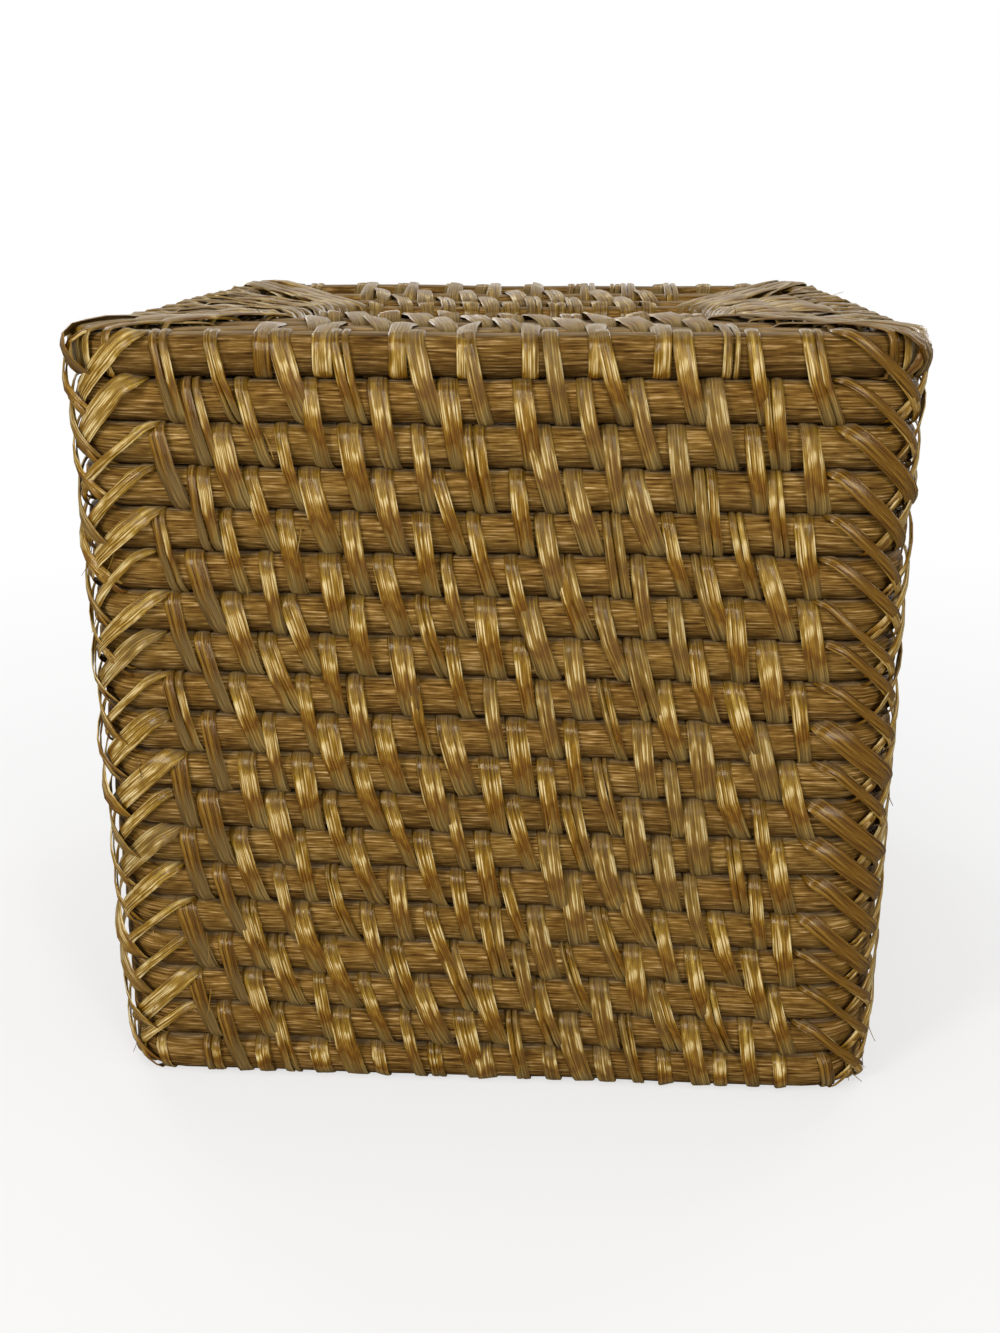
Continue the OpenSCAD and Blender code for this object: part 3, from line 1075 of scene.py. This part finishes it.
# %% [markdown]
# The cover stands on a pale floor in a white surrounding. The camera sees the
# world as plain white, and the floor fades to the same white away from the cover,
# so that only its shadow shows. Reflections get a paler or greyer version of the
# same studio, because a wall of pure white would wash the amber out of the peel.

# %% Floor and world
FLOOR_COLOUR, MIRRORED_FLOOR = (0.85, 0.855, 0.865), (0.13, 0.125, 0.11)
FADE_START, FADE_END, FADE_LEAST = 0.10, 0.42, 0.62
STUDIO_GREY = (0.34, 0.34, 0.345)
MIRRORED_STUDIO = ((0.0, (0.08, 0.07, 0.05)), (0.55, (0.20, 0.18, 0.14)), (0.80, (0.52, 0.48, 0.40)),
                   (1.0, (0.88, 0.82, 0.72)))


def ray_kind(tree, *kinds):
    """1 for the given kinds of light path, and 0 for the others."""
    path = add_node(tree, "ShaderNodeLightPath").outputs
    value = path[kinds[0]]
    for kind in kinds[1:]:
        value = calculate(tree, "MAXIMUM", value, path[kind])
    return value


bm = bmesh.new()
bmesh.ops.create_grid(bm, x_segments=2, y_segments=2, size=3.0)
floor_mesh = bpy.data.meshes.new("floor")
bm.to_mesh(floor_mesh)
bm.free()
floor = bpy.data.objects.new("floor", floor_mesh)
bpy.context.scene.collection.objects.link(floor)
floor_material, tree, shader = start_material("pale_floor")
feed(tree, shader.inputs["Base Color"], FLOOR_COLOUR)
feed(tree, shader.inputs["Roughness"], 0.9)
reach = add_node(tree, "ShaderNodeVectorMath", operation="LENGTH")
feed(tree, reach.inputs[0], add_node(tree, "ShaderNodeTexCoord").outputs["Object"])
fade = to_range(tree, reach.outputs["Value"], FADE_START, FADE_END, FADE_LEAST, 1.0)
seen = calculate(tree, "MULTIPLY", ray_kind(tree, "Is Camera Ray", "Is Transmission Ray"), fade)
glossy = ray_kind(tree, "Is Glossy Ray")
glow = add_node(tree, "ShaderNodeEmission")
feed(tree, glow.inputs["Color"], mix_colour(tree, "MIX", glossy, WHITE, MIRRORED_FLOOR))
mixed = add_node(tree, "ShaderNodeMixShader")
feed(tree, mixed.inputs["Fac"], calculate(tree, "MAXIMUM", seen, glossy))
feed(tree, mixed.inputs[1], shader.outputs[0])
feed(tree, mixed.inputs[2], glow.outputs[0])
feed(tree, tree.nodes["Material Output"].inputs["Surface"], mixed.outputs[0])
arrange(tree)
floor.data.materials.append(floor_material)

world = bpy.data.worlds.new("studio")
bpy.context.scene.world = world
world.use_nodes = True
tree = world.node_tree
depth = split(tree, add_node(tree, "ShaderNodeTexCoord").outputs["Generated"])["Y"]
mirrored = ramp(tree, to_range(tree, depth, -1.0, 1.0, 0.0, 1.0), MIRRORED_STUDIO)
lit = mix_colour(tree, "MIX", ray_kind(tree, "Is Glossy Ray"), STUDIO_GREY, mirrored)
tone = mix_colour(tree, "MIX", ray_kind(tree, "Is Camera Ray", "Is Transmission Ray"), lit, WHITE)
feed(tree, tree.nodes["Background"].inputs["Color"], tone)
arrange(tree)
print("Floor and world are white to the camera")

# %% [markdown]
# Four upright soft boxes stand round the cover, one hangs above it, and a wide low
# one stands far behind, which brightens the top where the camera looks along it.
# The two in front are warm and the strongest: each strip's rounded back mirrors
# them as a pair of long glints, one on its left and one on its right. They stand
# well above the cover, so that each rod's upper half is lighter than its lower one.

# %% Lamps
LAMP_TARGET = Vector((0, 0, 0.07))
WARM = (1.0, 0.94, 0.84)


def soft_box(name, where, size, power, colour=WHITE):
    data = bpy.data.lights.new(name, "AREA")
    data.shape = "RECTANGLE"
    data.color = colour
    data.size, data.size_y = size
    data.energy = power
    lamp = bpy.data.objects.new(name, data)
    bpy.context.scene.collection.objects.link(lamp)
    lamp.location = where
    lamp.rotation_euler = (LAMP_TARGET - Vector(where)).to_track_quat("-Z", "Y").to_euler()
    lamp.visible_camera = False
    print(name, "at", where, "with", power, "W")


soft_box("left_front_lamp", (-0.60, -0.72, 0.46), (0.20, 0.36), 4.4, WARM)
soft_box("right_front_lamp", (0.46, -0.82, 0.44), (0.20, 0.36), 3.2, WARM)
soft_box("left_back_lamp", (-0.60, 0.72, 0.40), (0.30, 0.40), 1.9)
soft_box("right_back_lamp", (0.62, 0.70, 0.40), (0.30, 0.40), 1.9)
soft_box("overhead_lamp", (0.0, -0.12, 1.05), (0.60, 0.60), 2.5)
soft_box("back_lamp", (0.0, 1.15, 0.42), (1.30, 0.45), 1.8)
bpy.context.scene.view_settings.view_transform = "Standard"
